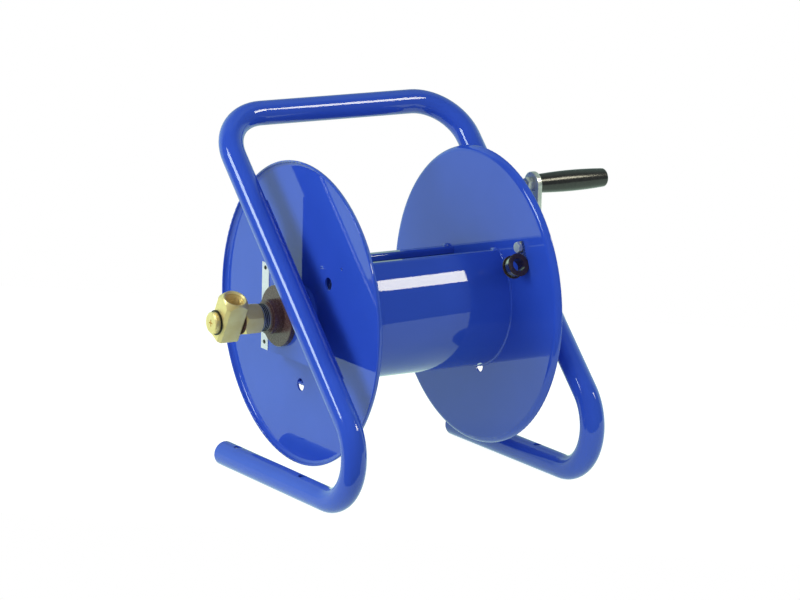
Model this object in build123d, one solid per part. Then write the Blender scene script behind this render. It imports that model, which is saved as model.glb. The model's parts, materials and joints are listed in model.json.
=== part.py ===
from build123d import *
import math
import os

# Hand-crank hose reel on a bent tube frame. Millimetres.
# X runs along the axle, from the water inlet (-X) to the crank (+X). Y runs backwards and Z runs up.
# The origin is the centre of the four foot holes, on the floor.

GAP = 0.3                 # free play between pieces that turn against each other
OVERCUT = 1.0             # how far a cutting tool runs past the surface it opens
HEX_CROWN = 0.10          # chamfer on a hexagon's corners, as a share of its width across flats

# ---- frame tube ----
TUBE_R = 12.5
TUBE_WALL = 2.0
BEND_R = 50.0
TUBE_X = 139.0            # centre plane of each side of the frame
FOOT_BACK_Y = 90.0        # open rear end of each foot
CORNER_Y = -230.5         # where the foot and the sloping leg would meet without the bend
TOP_Y = 116.0
TOP_Z = 354.0             # centre line of the carrying bar
FOOT_HOLE_PITCH_Y = 127.0
FOOT_HOLE_R = 4.25

# ---- axle line ----
AXLE_Y = 5.5
AXLE_Z = 171.0
AXLE_R = 13.35
PIPE_BORE_R = 10.45

# ---- bearing plates and bearings ----
PLATE_X = 126.5           # outer face of each plate, where the leg touches it
PLATE_T = 4.0
PLATE_BACK_Y = 41.5
PLATE_BOTTOM_Z = 131.0
BEARING_BORE_R = 13.40
BEARING_R = 17.25
BEARING_NOSE_R = 15.5
BEARING_EDGE = 0.6
BEARING_FLANGE_R = 30.5
BEARING_FLANGE_T = 5.5
BEARING_OUT_X = 144.5
BEARING_STEP_X = 143.0
BEARING_IN_X = 118.0
RING_T = 1.5
RING_GROOVE_R = 16.0
RING_R = 19.5
RING_GAP = 6.0

# ---- rating plate ----
RATING_W = 13.0
RATING_T = 0.8
RATING_TOP_Z = 219.0
RATING_RELIEF_R = 31.0
RIVET_Y = PLATE_BACK_Y - RATING_W / 2
RIVET_ZS = (214.0, 138.5)
RIVET_R = 1.2
RIVET_HEAD_R = 2.0
RIVET_TAIL_R = 2.2
RIVET_TAIL_T = 3.0
RIVET_EDGE = 0.5

# ---- discs and drum ----
DISC_R = 152.4
DISC_X = 100.0            # drum side of each disc
SHEET_T = 2.0
FLARE_R = 6.0
DRUM_R = 72.0
FRONT_DEG = 130.6         # the drum is round except between these two angles
BACK_DEG = 34.0
FRONT_BEND_R = 4.0
BACK_BEND_R = 10.0
OPENING_START = 12.5      # along the flat top, from the front bend
OPENING_END = 88.0
TURN_DOWN = 7.0           # depth of the turned-down edge at the back of the opening
TURN_DOWN_R = 3.0
DRAIN_R = 6.35
DRAIN_PITCH_R = 73.0
DRAIN_DEGS = {-1: -90.0, 1: -102.9}
SIDE_HOLE_PITCH_R = 62.8
SIDE_HOLE_DEG = 141.6
SPARE_HOLE_R = 1.6
SPARE_HOLE_PITCH_R = 93.9

# ---- hubs ----
HUB_FLANGE_R = 30.0
HUB_FLANGE_T = 4.0
HUB_R = 18.0
HUB_END_X = 116.5
WASHER_T = 1.2
WASHER_R = 17.0
DISC_BORE_R = 13.6
HUB_BOLT_PITCH_R = 24.0
M6_R = 3.0
M6_HOLE_R = 3.2
M6_FLATS = 10.0
M6_HEAD = 4.0
M6_NUT = 5.0
M6_STUB = 1.5             # thread showing past a nut
SET_SCREW_R = 2.5
SET_SCREW_FLATS = 2.5
SET_SCREW_SOCKET = 2.0
SET_SCREW_X = 111.5

# ---- waterway inside the drum ----
PIPE_LEFT_X = -153.5
RISER_X = -60.0
ELBOW_R = 14.5
ELBOW_INLET_R = 16.5
ELBOW_BAND_R = 19.0
ELBOW_BAND_T = 5.0
WATER_R = 7.5
SOCKET_DEPTH = 10.0
RISER_R = 10.65
RISER_SOCKET = 4.0
ELBOW_ARM = 22.0
OUTLET_DEG = 111.6        # direction of the riser, towards the middle of the slot
OUTLET_RADIAL = 31.0
LOWER_ELBOW_ARM_UP = 16.0
UPPER_ELBOW_ARM_DOWN = 12.0
OUTLET_FLATS = 24.0
OUTLET_HEX = 9.0
OUTLET_THREAD_R = 10.4
OUTLET_THREAD_LENGTH = 16.0

# ---- inlet swivel ----
STEM_FLATS = 28.6
STEM_TURN_DEG = 18.0
STEM_HEX_X0 = -173.0
STEM_SPIGOT_R = 10.4
STEM_SPIGOT_X1 = -126.0
JOURNAL_R = 9.0
JOURNAL_END_X = -200.6
STEM_WATER_R = 5.5
STEM_WASHER_R = 13.9
CROSS_HOLE_R = 3.2
CROSS_HOLE_DEGS = (0, 90)
SWIVEL_X0 = -199.0
SWIVEL_X1 = -174.0
SWIVEL_BORE_R = 9.06
SWIVEL_ACROSS = 25.4
SWIVEL_DOWN = 18.0
SWIVEL_UP = 17.0
SWIVEL_CHAMFER = 3.0
SWIVEL_BASE_CHAMFER = 1.5
SWIVEL_EDGE = 0.5
PORT_TILT_DEG = 28.0
PORT_BOSS_R = 13.2
PORT_END = 29.0
PORT_R = 9.3
PORT_FLOOR = 12.5
PORT_WATER_R = 4.5
PORT_MOUTH_CHAMFER = 1.4
GALLERY_R = 11.0
GALLERY_W = 8.0
O_RING_R = 0.8
O_RING_SEAT_R = 7.4
O_RING_GROOVE = 2.2
O_RING_XS = (-179.5, -194.0)
CAP_R = 10.9
CAP_T = 5.0
CAP_CHAMFER = 1.2
CAP_CROSS = (3.0, 7.0, 1.5)   # recess: twice its depth, length, width
CAP_SCREW_R = 3.0
CAP_SCREW_LENGTH = 7.0
CLIP_R = 12.4

# ---- crank and handle ----
ARM_X0 = 167.5
ARM_T = 6.0
ARM_W = 25.4
ARM_LENGTH = 109.0
ARM_EDGE = 1.0
SQUARE = 15.0
CRANK_BOLT_R = 5.0
CRANK_BOLT_FLATS = 16.0
CRANK_BOLT_HEAD = 6.4
CRANK_BOLT_DEPTH = 24.0
CRANK_BOLT_TIP_GAP = 2.0
SHAFT_INSIDE = 12.0       # how far the crank shaft reaches past its disc into the drum
CRANK_WASHER_R = 14.0
CRANK_WASHER_T = 2.5
HANDLE_BOLT_R = 4.0
HANDLE_NUT_FLATS = 13.0
HANDLE_NUT_T = 7.0
HANDLE_BOLT_STUB = 1.5
SLEEVE_R = 6.0
SLEEVE_END_X = 251.5
HANDLE_HEAD_R = 6.5
HANDLE_HEAD_T = 5.0
HANDLE_SOCKET_FLATS = 6.0
HANDLE_SOCKET_T = 3.0
HANDLE_WASHER_T = 1.0
GRIP_X0 = 174.8
GRIP_X1 = 258.5
GRIP_END_R = 9.4
GRIP_MID_R = 10.9
GRIP_SWELL = 0.45         # how far along the grip it is widest
GRIP_EDGE = 2.2
GRIP_BORE_R = 6.06
GRIP_POCKET_R = 6.9

# ---- hose clamp on the right disc ----
CLAMP_BOLT_R = 108.5
CLAMP_BOLT_DEG = 143.0
CLAMP_TURN_DEG = 104.0    # direction of the strap, counted on from the bolt's own angle
CLAMP_OFFSET = 18.5
CLAMP_HEIGHT = 11.5
STRAP_R = 10.2
STRAP_T = 1.2
STRAP_W = 9.5
EAR_BACK = 5.5
CUSHION_BORE_R = 6.7
CUSHION_LIP_R = 11.8
CUSHION_LIP_T = 1.6
CUSHION_EDGE = 0.6

ALONG_X = (1, 0, 0)


def axle(x, y=0.0, z=0.0):
    """Point given by its place along the axle and its offset from the axle line."""
    return (x, AXLE_Y + y, AXLE_Z + z)


def polar(x, radius, degrees):
    """Point round the axle; the angle counts from +Y towards +Z."""
    angle = math.radians(degrees)
    return axle(x, radius * math.cos(angle), radius * math.sin(angle))


def toward(degrees):
    """Unit vector across the axle at an angle from +Y towards +Z."""
    angle = math.radians(degrees)
    return (0, math.cos(angle), math.sin(angle))


def shift(point, direction, distance):
    return tuple(p + d * distance for p, d in zip(point, direction))


def rod(start, direction, length, radius):
    return extrude(Plane(origin=start, z_dir=direction) * Circle(radius), amount=length)


def rod_x(x0, x1, radius, y=0.0, z=0.0):
    return rod(axle(x0, y, z), ALONG_X, x1 - x0, radius)


def ring_x(x0, x1, outer, inner):
    return rod_x(x0, x1, outer) - rod_x(x0, x1, inner)


def hexagon(start, direction, length, flats, turn=0.0):
    face = RegularPolygon(flats / 2, 6, major_radius=False, rotation=turn)
    return extrude(Plane(origin=start, z_dir=direction) * face, amount=length)


def hex_head(start, direction, length, flats, turn=0.0):
    """Hexagon whose corners are turned down at both ends, as on a nut or a bolt head."""
    turning = rod(start, direction, length, flats / math.sqrt(3) + HEX_CROWN * flats / 4)
    turning = chamfer(turning.edges().filter_by(GeomType.CIRCLE), HEX_CROWN * flats)
    return hexagon(start, direction, length, flats, turn) & turning


def turned(points):
    """Solid of revolution about the axle from (x, radius) corners."""
    face = make_face(Polyline(*points, close=True))
    return Pos(0, AXLE_Y, AXLE_Z) * revolve(face, axis=Axis.X)


def mirrored_x(shape):
    return mirror(shape, about=Plane.YZ)


def group(*solids):
    return Compound(children=[s for solid in solids for s in solid.solids()])


# ---------------------------------------------------------------- frame
def leg_z(y):
    """Height of the sloping leg's centre line at a place along Y."""
    return TUBE_R + (y - CORNER_Y) * (TOP_Z - TUBE_R) / (TOP_Y - CORNER_Y)


def leg_y(z):
    return CORNER_Y + (z - TUBE_R) * (TOP_Y - CORNER_Y) / (TOP_Z - TUBE_R)


def frame_tube():
    corners = [
        (-TUBE_X, FOOT_BACK_Y, TUBE_R),
        (-TUBE_X, CORNER_Y, TUBE_R),
        (-TUBE_X, TOP_Y, TOP_Z),
        (TUBE_X, TOP_Y, TOP_Z),
        (TUBE_X, CORNER_Y, TUBE_R),
        (TUBE_X, FOOT_BACK_Y, TUBE_R),
    ]
    path = FilletPolyline(*corners, radius=BEND_R)
    section = Plane(origin=path @ 0, z_dir=path % 0)
    outside = sweep(section * Circle(TUBE_R), path=path)
    inside = sweep(section * Circle(TUBE_R - TUBE_WALL), path=path)
    tube = outside - inside
    for x in (-TUBE_X, TUBE_X):
        for y in (-FOOT_HOLE_PITCH_Y / 2, FOOT_HOLE_PITCH_Y / 2):
            tube -= rod((x, y, -OVERCUT), (0, 0, 1), 2 * (TUBE_R + OVERCUT), FOOT_HOLE_R)
    return tube


def bearing_plate(x0):
    """Gusset between the leg and its own upright back edge; it touches the inner side of the leg."""
    outline = Polyline(
        (PLATE_BACK_Y, leg_z(PLATE_BACK_Y)),
        (leg_y(PLATE_BOTTOM_Z), PLATE_BOTTOM_Z),
        (PLATE_BACK_Y, PLATE_BOTTOM_Z),
        close=True,
    )
    plate = extrude(Plane.YZ.offset(x0) * make_face(outline), amount=PLATE_T)
    return plate - rod_x(x0, x0 + PLATE_T, BEARING_R)


def rivet_holes(x0, x1):
    return [rod_x(x0, x1, RIVET_R, RIVET_Y - AXLE_Y, z - AXLE_Z) for z in RIVET_ZS]


def left_bearing_plate():
    return bearing_plate(-PLATE_X) - rivet_holes(-PLATE_X, -PLATE_X + PLATE_T)


def left_bearing():
    groove_x = PLATE_X - PLATE_T
    return turned([
        (-BEARING_OUT_X, BEARING_BORE_R),
        (-BEARING_OUT_X, BEARING_NOSE_R),
        (-BEARING_STEP_X, BEARING_NOSE_R),
        (-BEARING_STEP_X, BEARING_R),
        (-PLATE_X - BEARING_FLANGE_T, BEARING_R),
        (-PLATE_X - BEARING_FLANGE_T, BEARING_FLANGE_R - BEARING_EDGE),
        (-PLATE_X - BEARING_FLANGE_T + BEARING_EDGE, BEARING_FLANGE_R),
        (-PLATE_X, BEARING_FLANGE_R),
        (-PLATE_X, BEARING_R),
        (-groove_x, BEARING_R),
        (-groove_x, RING_GROOVE_R),
        (-groove_x + RING_T, RING_GROOVE_R),
        (-groove_x + RING_T, BEARING_R),
        (-BEARING_IN_X, BEARING_R),
        (-BEARING_IN_X, BEARING_BORE_R),
    ])


def retaining_ring():
    """Snap ring that holds the left bearing in its plate; the gap faces down."""
    x0 = -PLATE_X + PLATE_T
    ring = ring_x(x0, x0 + RING_T, RING_R, RING_GROOVE_R)
    gap_depth = 2 * (RING_R - RING_GROOVE_R) + OVERCUT
    return ring - Pos(*axle(x0, 0, -RING_R)) * Box(4 * RING_T, RING_GAP, gap_depth)


def rating_plate():
    height = RATING_TOP_Z - PLATE_BOTTOM_Z
    centre_z = (RATING_TOP_Z + PLATE_BOTTOM_Z) / 2
    plate = Pos(-PLATE_X - RATING_T / 2, RIVET_Y, centre_z) * Box(RATING_T, RATING_W, height)
    plate -= rod_x(-PLATE_X - RATING_T, -PLATE_X, RATING_RELIEF_R)
    return plate - rivet_holes(-PLATE_X - RATING_T, -PLATE_X)


def rating_plate_rivet(z):
    y = RIVET_Y - AXLE_Y
    z -= AXLE_Z
    head_x = -PLATE_X - RATING_T
    tail_x = -PLATE_X + PLATE_T
    head = rod_x(head_x - RATING_T, head_x, RIVET_HEAD_R, y, z)
    head = fillet(head.edges().sort_by(Axis.X)[0], RIVET_EDGE)
    tail = rod_x(tail_x, tail_x + RIVET_TAIL_T, RIVET_TAIL_R, y, z)
    tail = fillet(tail.edges().sort_by(Axis.X)[-1], 2 * RIVET_EDGE)
    return head + rod_x(head_x, tail_x, RIVET_R, y, z) + tail


# ---------------------------------------------------------------- reel shell
def disc(side):
    """Sheet disc whose rim flares away from the drum. side is -1 at the inlet and +1 at the crank."""
    flat = DISC_R - FLARE_R
    centre_x = DISC_X + FLARE_R
    small = FLARE_R - SHEET_T
    diagonal = math.sqrt(0.5)
    outline = [
        Line((DISC_X, DISC_BORE_R), (DISC_X, flat)),
        ThreePointArc(
            (DISC_X, flat),
            (centre_x - FLARE_R * diagonal, flat + FLARE_R * diagonal),
            (centre_x, DISC_R),
        ),
        ThreePointArc(
            (centre_x, DISC_R),
            (centre_x + SHEET_T / 2, DISC_R - SHEET_T / 2),
            (centre_x, DISC_R - SHEET_T),
        ),
        ThreePointArc(
            (centre_x, DISC_R - SHEET_T),
            (centre_x - small * diagonal, flat + small * diagonal),
            (DISC_X + SHEET_T, flat),
        ),
        Line((DISC_X + SHEET_T, flat), (DISC_X + SHEET_T, DISC_BORE_R)),
        Line((DISC_X + SHEET_T, DISC_BORE_R), (DISC_X, DISC_BORE_R)),
    ]
    shell = Pos(0, AXLE_Y, AXLE_Z) * revolve(make_face(Wire(outline)), axis=Axis.X)
    if side < 0:
        shell = mirrored_x(shell)
    x0 = side * (DISC_X + SHEET_T / 2) - SHEET_T

    def hole(radius, pitch, degrees):
        return rod(polar(x0, pitch, degrees), ALONG_X, 2 * SHEET_T, radius)

    for i in range(4):
        shell -= hole(M6_HOLE_R, HUB_BOLT_PITCH_R, 45 + 90 * i)
    shell -= hole(DRAIN_R, DRAIN_PITCH_R, DRAIN_DEGS[side])
    if side < 0:
        shell -= hole(DRAIN_R, SIDE_HOLE_PITCH_R, SIDE_HOLE_DEG)
        shell -= hole(SPARE_HOLE_R, SPARE_HOLE_PITCH_R, SIDE_HOLE_DEG)
    else:
        shell -= hole(M6_HOLE_R, CLAMP_BOLT_R, CLAMP_BOLT_DEG)
    return shell


def drum_section(radius, inset):
    """Drum outline: a circle with one flat side, set in from the outer outline by inset."""
    middle_deg = (FRONT_DEG + BACK_DEG) / 2
    half_deg = (FRONT_DEG - BACK_DEG) / 2
    flat_distance = DRUM_R * math.cos(math.radians(half_deg)) - inset
    keep = Rot(0, 0, middle_deg) * Pos(flat_distance - DRUM_R, 0) * Rectangle(2 * DRUM_R, 3 * DRUM_R)
    face = Circle(radius) & keep
    corners = face.vertices().filter_by(lambda v: abs(math.hypot(v.X, v.Y) - radius) < 0.01)
    front, back = corners.sort_by(Axis.X)
    face = fillet(front, FRONT_BEND_R - inset)
    back = face.vertices().sort_by_distance((back.X, back.Y))[0]
    return fillet(back, BACK_BEND_R - inset)


def rounded_edge(radius):
    """Bar along the drum whose upper front edge is rounded."""
    bar = Box(2 * DISC_X, 2 * TURN_DOWN_R, TURN_DOWN, align=(Align.MIN, Align.MIN, Align.MAX))
    top_edges = bar.edges().filter_by(Axis.X).group_by(Axis.Z)[-1]
    return fillet(top_edges.sort_by(Axis.Y)[0], radius)


def drum_shell():
    """Rolled sheet with a flat top, open along its middle; the back edge of the opening turns down."""
    plane = Plane(origin=axle(-DISC_X), x_dir=(0, 1, 0), z_dir=ALONG_X)
    shell = extrude(plane * drum_section(DRUM_R, 0), amount=2 * DISC_X)
    shell -= extrude(plane * drum_section(DRUM_R - SHEET_T, SHEET_T), amount=2 * DISC_X)
    # from here on X runs along the drum, Y back across the flat top and Z out of it
    corner = polar(-DISC_X, DRUM_R, FRONT_DEG)
    top = Plane(origin=corner, x_dir=ALONG_X, z_dir=toward((FRONT_DEG + BACK_DEG) / 2)).location
    width = OPENING_END - OPENING_START
    low_corner = (Align.MIN, Align.MIN, Align.CENTER)
    shell -= top * Pos(0, OPENING_START, 0) * Box(2 * DISC_X, width, 4 * SHEET_T, align=low_corner)
    turned_edge = rounded_edge(TURN_DOWN_R) - Pos(0, SHEET_T, -SHEET_T) * rounded_edge(TURN_DOWN_R - SHEET_T)
    return shell + top * Pos(0, OPENING_END - TURN_DOWN_R, 0) * turned_edge


def left_hub():
    hub = turned([
        (-DISC_X - SHEET_T, AXLE_R),
        (-DISC_X - SHEET_T, HUB_FLANGE_R),
        (-DISC_X - SHEET_T - HUB_FLANGE_T, HUB_FLANGE_R),
        (-DISC_X - SHEET_T - HUB_FLANGE_T, HUB_R),
        (-HUB_END_X, HUB_R),
        (-HUB_END_X, AXLE_R),
    ])
    flange_x = -DISC_X - SHEET_T - HUB_FLANGE_T
    for i in range(4):
        hub -= rod(polar(flange_x, HUB_BOLT_PITCH_R, 45 + 90 * i), ALONG_X, HUB_FLANGE_T, M6_HOLE_R)
    return hub - rod(axle(-SET_SCREW_X), (0, 0, 1), HUB_R + OVERCUT, SET_SCREW_R)


def left_hub_bolts():
    head_x = -DISC_X - SHEET_T - HUB_FLANGE_T
    bolts = []
    for i in range(4):
        seat = polar(head_x, HUB_BOLT_PITCH_R, 45 + 90 * i)
        head = hex_head(shift(seat, ALONG_X, -M6_HEAD), ALONG_X, M6_HEAD, M6_FLATS)
        shank = rod(seat, ALONG_X, HUB_FLANGE_T + SHEET_T + M6_NUT + M6_STUB, M6_R)
        bolts.append(head + shank)
    return bolts


def left_hub_nuts():
    nuts = []
    for i in range(4):
        seat = polar(-DISC_X, HUB_BOLT_PITCH_R, 45 + 90 * i)
        nut = hex_head(seat, ALONG_X, M6_NUT, M6_FLATS) - rod(seat, ALONG_X, M6_NUT, M6_R)
        nuts.append(nut)
    return nuts


def left_set_screw():
    screw = rod(axle(-SET_SCREW_X, 0, AXLE_R), (0, 0, 1), HUB_R - AXLE_R, SET_SCREW_R)
    socket_start = axle(-SET_SCREW_X, 0, HUB_R - SET_SCREW_SOCKET)
    return screw - hexagon(socket_start, (0, 0, 1), SET_SCREW_SOCKET, SET_SCREW_FLATS)


# ---------------------------------------------------------------- waterway
def axle_pipe():
    return ring_x(PIPE_LEFT_X, RISER_X - ELBOW_ARM + SOCKET_DEPTH, AXLE_R, PIPE_BORE_R)


def riser_elbow():
    """Cast elbow on the end of the axle pipe that turns the water outwards."""
    up = toward(OUTLET_DEG)
    corner = axle(RISER_X)
    body = rod_x(RISER_X - ELBOW_ARM, RISER_X, ELBOW_INLET_R)
    body += rod(corner, up, LOWER_ELBOW_ARM_UP, ELBOW_R)
    body += Pos(*corner) * Sphere(ELBOW_INLET_R)
    body += rod_x(RISER_X - ELBOW_ARM, RISER_X - ELBOW_ARM + ELBOW_BAND_T, ELBOW_BAND_R)
    body -= rod_x(RISER_X - ELBOW_ARM, RISER_X - ELBOW_ARM + SOCKET_DEPTH, AXLE_R)
    body -= rod_x(RISER_X - ELBOW_ARM + SOCKET_DEPTH, RISER_X, WATER_R)
    body -= Pos(*corner) * Sphere(WATER_R)
    body -= rod(corner, up, LOWER_ELBOW_ARM_UP, WATER_R)
    return body - rod(shift(corner, up, LOWER_ELBOW_ARM_UP - RISER_SOCKET), up, 2 * RISER_SOCKET, RISER_R)


def riser_nipple():
    up = toward(OUTLET_DEG)
    start_radial = LOWER_ELBOW_ARM_UP - RISER_SOCKET
    start = shift(axle(RISER_X), up, start_radial)
    length = OUTLET_RADIAL - UPPER_ELBOW_ARM_DOWN + RISER_SOCKET - start_radial
    return rod(start, up, length, RISER_R) - rod(start, up, length, WATER_R)


def outlet_elbow():
    """Second elbow, under the slot, that turns the water along the drum."""
    up = toward(OUTLET_DEG)
    corner = shift(axle(RISER_X), up, OUTLET_RADIAL)
    body = rod(shift(corner, up, -UPPER_ELBOW_ARM_DOWN), up, UPPER_ELBOW_ARM_DOWN, ELBOW_R)
    body += rod(corner, ALONG_X, ELBOW_ARM, ELBOW_R)
    body += Pos(*corner) * Sphere(ELBOW_R)
    below = UPPER_ELBOW_ARM_DOWN + RISER_SOCKET
    body -= rod(shift(corner, up, -below), up, 2 * RISER_SOCKET, RISER_R)
    body -= rod(shift(corner, up, -UPPER_ELBOW_ARM_DOWN), up, UPPER_ELBOW_ARM_DOWN, WATER_R)
    body -= Pos(*corner) * Sphere(WATER_R)
    body -= rod(corner, ALONG_X, ELBOW_ARM, WATER_R)
    return body - rod(shift(corner, ALONG_X, ELBOW_ARM - SOCKET_DEPTH), ALONG_X, SOCKET_DEPTH, RISER_R)


def outlet_fitting():
    """Brass male fitting that the hose screws on to."""
    corner = shift(axle(RISER_X), toward(OUTLET_DEG), OUTLET_RADIAL)
    seat = shift(corner, ALONG_X, ELBOW_ARM)
    inner = shift(seat, ALONG_X, -SOCKET_DEPTH)
    thread = shift(seat, ALONG_X, OUTLET_HEX)
    body = rod(inner, ALONG_X, SOCKET_DEPTH, RISER_R)
    body += hex_head(seat, ALONG_X, OUTLET_HEX, OUTLET_FLATS)
    body += rod(thread, ALONG_X, OUTLET_THREAD_LENGTH, OUTLET_THREAD_R)
    return body - rod(inner, ALONG_X, SOCKET_DEPTH + OUTLET_HEX + OUTLET_THREAD_LENGTH, WATER_R)


# ---------------------------------------------------------------- inlet swivel
def swivel_stem():
    """Brass stem: a journal with two O-ring grooves, a spanner hex and a spigot in the axle pipe."""
    gallery_x = (SWIVEL_X0 + SWIVEL_X1) / 2
    profile = [(JOURNAL_END_X, 0), (JOURNAL_END_X, JOURNAL_R)]
    for x in sorted(O_RING_XS):
        profile += [
            (x - O_RING_GROOVE / 2, JOURNAL_R),
            (x - O_RING_GROOVE / 2, O_RING_SEAT_R),
            (x + O_RING_GROOVE / 2, O_RING_SEAT_R),
            (x + O_RING_GROOVE / 2, JOURNAL_R),
        ]
    profile += [
        (STEM_HEX_X0, JOURNAL_R),
        (STEM_HEX_X0, STEM_SPIGOT_R),
        (STEM_SPIGOT_X1, STEM_SPIGOT_R),
        (STEM_SPIGOT_X1, 0),
    ]
    stem = turned(profile)
    hex_length = PIPE_LEFT_X - STEM_HEX_X0
    stem += hex_head(axle(STEM_HEX_X0), ALONG_X, hex_length, STEM_FLATS, STEM_TURN_DEG)
    stem -= rod_x(gallery_x - CROSS_HOLE_R - OVERCUT, STEM_SPIGOT_X1, STEM_WATER_R)
    stem -= rod_x(JOURNAL_END_X, JOURNAL_END_X + CAP_SCREW_LENGTH + GAP, CAP_SCREW_R)
    for degrees in CROSS_HOLE_DEGS:
        start = polar(gallery_x, -JOURNAL_R - OVERCUT, degrees)
        stem -= rod(start, toward(degrees), 2 * (JOURNAL_R + OVERCUT), CROSS_HOLE_R)
    return stem


def o_ring(x):
    plane = Plane(origin=axle(x), z_dir=ALONG_X)
    return plane * Torus(O_RING_SEAT_R + O_RING_R, O_RING_R)


def swivel_body():
    """Square brass body that stays with the supply hose while the stem turns inside it."""
    up = toward(90 + PORT_TILT_DEG)
    centre = axle((SWIVEL_X0 + SWIVEL_X1) / 2)
    plane = Plane(origin=centre, x_dir=ALONG_X, z_dir=up)
    block = extrude(plane.offset(-SWIVEL_DOWN) * Rectangle(SWIVEL_X1 - SWIVEL_X0, SWIVEL_ACROSS),
                    amount=SWIVEL_DOWN + SWIVEL_UP)
    corners = block.edges().filter_by(lambda e: abs((e % 0.5).dot(Vector(*up))) > 0.99)
    block = chamfer(corners, SWIVEL_CHAMFER)
    lower = block.faces().sort_by(lambda f: (f.center() - Vector(*centre)).dot(Vector(*up)))[0]
    block = chamfer(lower.edges(), SWIVEL_BASE_CHAMFER)
    ends = block.faces().sort_by(Axis.X)
    block = fillet(ends[0].edges() + ends[-1].edges(), SWIVEL_EDGE)
    block += rod(shift(centre, up, SWIVEL_UP), up, PORT_END - SWIVEL_UP, PORT_BOSS_R)
    block -= rod_x(SWIVEL_X0, SWIVEL_X1, SWIVEL_BORE_R)
    gallery_x = centre[0]
    block -= rod_x(gallery_x - GALLERY_W / 2, gallery_x + GALLERY_W / 2, GALLERY_R)
    block -= rod(centre, up, PORT_FLOOR, PORT_WATER_R)
    block -= rod(shift(centre, up, PORT_FLOOR), up, PORT_END - PORT_FLOOR, PORT_R)
    mouth_plane = Plane(origin=shift(centre, up, PORT_END - PORT_MOUTH_CHAMFER), z_dir=up)
    upright = (Align.CENTER, Align.CENTER, Align.MIN)
    mouth = Cone(PORT_R, PORT_R + PORT_MOUTH_CHAMFER, PORT_MOUTH_CHAMFER, align=upright)
    return block - mouth_plane * mouth


def swivel_cap():
    """Round brass cap with a cross recess, screwed into the end of the stem."""
    x0 = JOURNAL_END_X - CAP_T
    cap = rod_x(x0, JOURNAL_END_X, CAP_R)
    cap = chamfer(cap.edges().sort_by(Axis.X)[0], CAP_CHAMFER)
    cap += rod_x(JOURNAL_END_X, JOURNAL_END_X + CAP_SCREW_LENGTH, CAP_SCREW_R)
    depth, length, width = CAP_CROSS
    cap -= Pos(*axle(x0)) * Box(depth, length, width)
    return cap - Pos(*axle(x0)) * Box(depth, width, length)


# ---------------------------------------------------------------- crank and handle
def crank_shaft():
    shaft = rod_x(DISC_X - SHAFT_INSIDE, ARM_X0, AXLE_R)
    shaft += Pos(*axle(ARM_X0 + ARM_T / 2)) * Box(ARM_T, SQUARE, SQUARE)
    end_x = ARM_X0 + ARM_T
    return shaft - rod_x(end_x - CRANK_BOLT_DEPTH, end_x, CRANK_BOLT_R)


def crank_arm():
    plane = Plane(origin=axle(ARM_X0), x_dir=(0, 1, 0), z_dir=ALONG_X)
    outline = Pos(0, ARM_LENGTH / 2) * Rectangle(ARM_W, ARM_LENGTH)
    outline += Circle(ARM_W / 2)
    outline += Pos(0, ARM_LENGTH) * Circle(ARM_W / 2)
    arm = extrude(plane * outline, amount=ARM_T)
    flats = arm.faces().sort_by(Axis.X)
    arm = fillet(flats[0].edges() + flats[-1].edges(), ARM_EDGE)
    arm -= extrude(plane * Rectangle(SQUARE, SQUARE), amount=ARM_T)
    return arm - handle_rod(ARM_X0, ARM_X0 + ARM_T, HANDLE_BOLT_R)


def crank_bolt():
    seat_x = ARM_X0 + ARM_T + CRANK_WASHER_T
    tip_x = ARM_X0 + ARM_T - CRANK_BOLT_DEPTH + CRANK_BOLT_TIP_GAP
    head = hex_head(axle(seat_x), ALONG_X, CRANK_BOLT_HEAD, CRANK_BOLT_FLATS)
    return head + rod_x(tip_x, seat_x, CRANK_BOLT_R)


def handle_rod(x0, x1, radius):
    return rod_x(x0, x1, radius, 0, ARM_LENGTH)


def handle_bolt():
    bolt = handle_rod(ARM_X0 - HANDLE_NUT_T - HANDLE_BOLT_STUB, SLEEVE_END_X, HANDLE_BOLT_R)
    head = handle_rod(SLEEVE_END_X, SLEEVE_END_X + HANDLE_HEAD_T, HANDLE_HEAD_R)
    socket_start = axle(SLEEVE_END_X + HANDLE_HEAD_T - HANDLE_SOCKET_T, 0, ARM_LENGTH)
    return bolt + head - hexagon(socket_start, ALONG_X, HANDLE_SOCKET_T, HANDLE_SOCKET_FLATS)


def handle_nut():
    x0 = ARM_X0 - HANDLE_NUT_T
    nut = hex_head(axle(x0, 0, ARM_LENGTH), ALONG_X, HANDLE_NUT_T, HANDLE_NUT_FLATS)
    return nut - handle_rod(x0, ARM_X0, HANDLE_BOLT_R)


def handle_sleeve():
    x0 = ARM_X0 + ARM_T
    return handle_rod(x0, SLEEVE_END_X, SLEEVE_R) - handle_rod(x0, SLEEVE_END_X, HANDLE_BOLT_R)


def handle_washer():
    x0 = ARM_X0 + ARM_T
    x1 = x0 + HANDLE_WASHER_T
    return handle_rod(x0, x1, GRIP_END_R) - handle_rod(x0, x1, SLEEVE_R)


def handle_grip():
    swell_x = GRIP_X0 + GRIP_SWELL * (GRIP_X1 - GRIP_X0)
    side = ThreePointArc((GRIP_X0, GRIP_END_R), (swell_x, GRIP_MID_R), (GRIP_X1, GRIP_END_R))
    rest = Polyline((GRIP_X1, GRIP_END_R), (GRIP_X1, 0), (GRIP_X0, 0), (GRIP_X0, GRIP_END_R))
    grip = revolve(make_face(Wire([side, *rest.edges()])), axis=Axis.X)
    rims = grip.edges().sort_by(Axis.X)
    grip = fillet(rims[-1], GRIP_EDGE)
    grip = Pos(*axle(0, 0, ARM_LENGTH)) * grip
    grip -= handle_rod(GRIP_X0, GRIP_X1, GRIP_BORE_R)
    return grip - handle_rod(SLEEVE_END_X - GAP, GRIP_X1, GRIP_POCKET_R)


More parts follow.
